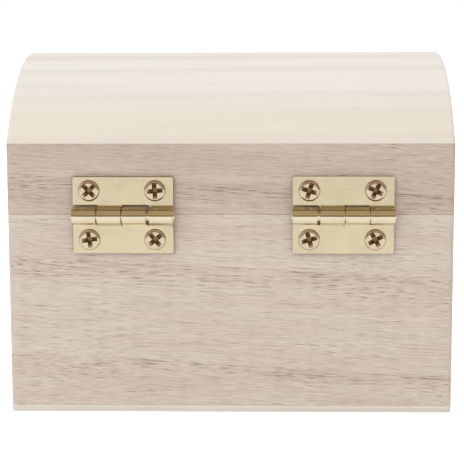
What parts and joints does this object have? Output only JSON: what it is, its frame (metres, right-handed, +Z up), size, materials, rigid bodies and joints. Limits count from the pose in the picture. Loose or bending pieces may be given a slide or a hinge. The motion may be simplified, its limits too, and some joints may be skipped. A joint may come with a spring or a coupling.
{
  "type": "treasure chest box",
  "caption": "Small bare wood treasure chest with a barrel lid on two brass butt hinges and a swing hook in front.",
  "frame": {"origin": "middle of the bottom plate's underside", "axes": "+Z up, the front with the hook towards -Y, the hinges towards +Y, +X to the right of someone who faces the front"},
  "size_m": [0.09, 0.0765, 0.072],
  "materials": {
    "board_wood": "bare, sanded",
    "cover_wood": "bare, sanded",
    "plate_wood": "bare plywood",
    "hinge_brass": "bright plated",
    "screw_brass": "bright plated",
    "hook_brass": "bright plated"
  },
  "bodies": {
    "box": {"bottom_plate": "plate_wood", "box_back_board": "board_wood", "box_front_board": "board_wood", "box_left_end": "board_wood", "box_right_end": "board_wood", "latch_pivot_screw": "screw_brass", "latch_washer": "hook_brass", "left_hinge_box_leaf": "hinge_brass", "left_hinge_box_screws": "screw_brass", "left_hinge_pin": "hinge_brass", "right_hinge_box_leaf": "hinge_brass", "right_hinge_box_screws": "screw_brass", "right_hinge_pin": "hinge_brass"},
    "lid": {"lid_back_rail": "board_wood", "lid_front_rail": "board_wood", "lid_left_gable": "board_wood", "lid_right_gable": "board_wood", "lid_cover": "cover_wood", "latch_catch_post": "screw_brass", "left_hinge_lid_leaf": "hinge_brass", "left_hinge_lid_screws": "screw_brass", "right_hinge_lid_leaf": "hinge_brass", "right_hinge_lid_screws": "screw_brass"},
    "hook": {"latch_hook": "hook_brass"}
  },
  "joints": [
    {"name": "lid_hinge", "type": "hinge", "parent": "box", "child": "lid", "pos_m": [0, 0.03688, 0.0409], "axis": [-1, 0, 0], "range_deg": [0, 180]},
    {"name": "hook_swing", "type": "hinge", "parent": "box", "child": "hook", "pos_m": [0, -0.0361, 0.03405], "axis": [0, 1, 0], "range_deg": [-150, 180]}
  ]
}
